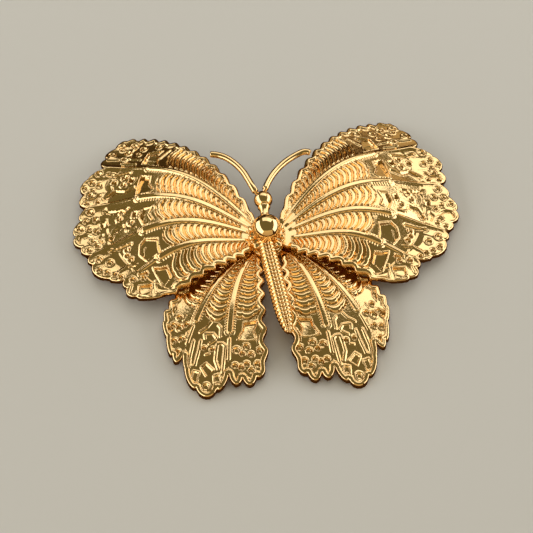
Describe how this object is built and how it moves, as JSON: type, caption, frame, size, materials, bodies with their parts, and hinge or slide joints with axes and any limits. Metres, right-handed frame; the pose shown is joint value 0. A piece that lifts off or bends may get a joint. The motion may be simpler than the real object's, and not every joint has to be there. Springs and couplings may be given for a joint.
{
  "type": "butterfly brooch",
  "caption": "Gold-plated butterfly brooch with domed wings in raised relief, a polished ball thorax, a ribbed abdomen, curved antennae and a plain back pin.",
  "frame": {"origin": "on the surface the brooch lies on, under the middle of its outline", "axes": "+X across the wings to the wearer's left as seen from the front, +Y towards the head, +Z out of the front face"},
  "size_m": [0.0602, 0.0494, 0.0093],
  "materials": {
    "cast_body": "cast brass, polished gold plate",
    "polished_ball": "mirror-polished gold plate",
    "cast_wing": "cast relief, polished gold plate",
    "antenna_wire": "drawn wire, polished gold plate",
    "pin_metal": "plain gold-plated finding"
  },
  "bodies": {
    "root": {"body": "cast_body", "thorax_ball": "polished_ball", "forewing_left": "cast_wing", "forewing_right": "cast_wing", "hindwing_left": "cast_wing", "hindwing_right": "cast_wing", "antenna_left": "antenna_wire", "antenna_right": "antenna_wire", "pin_finding": "pin_metal"}
  },
  "joints": []
}
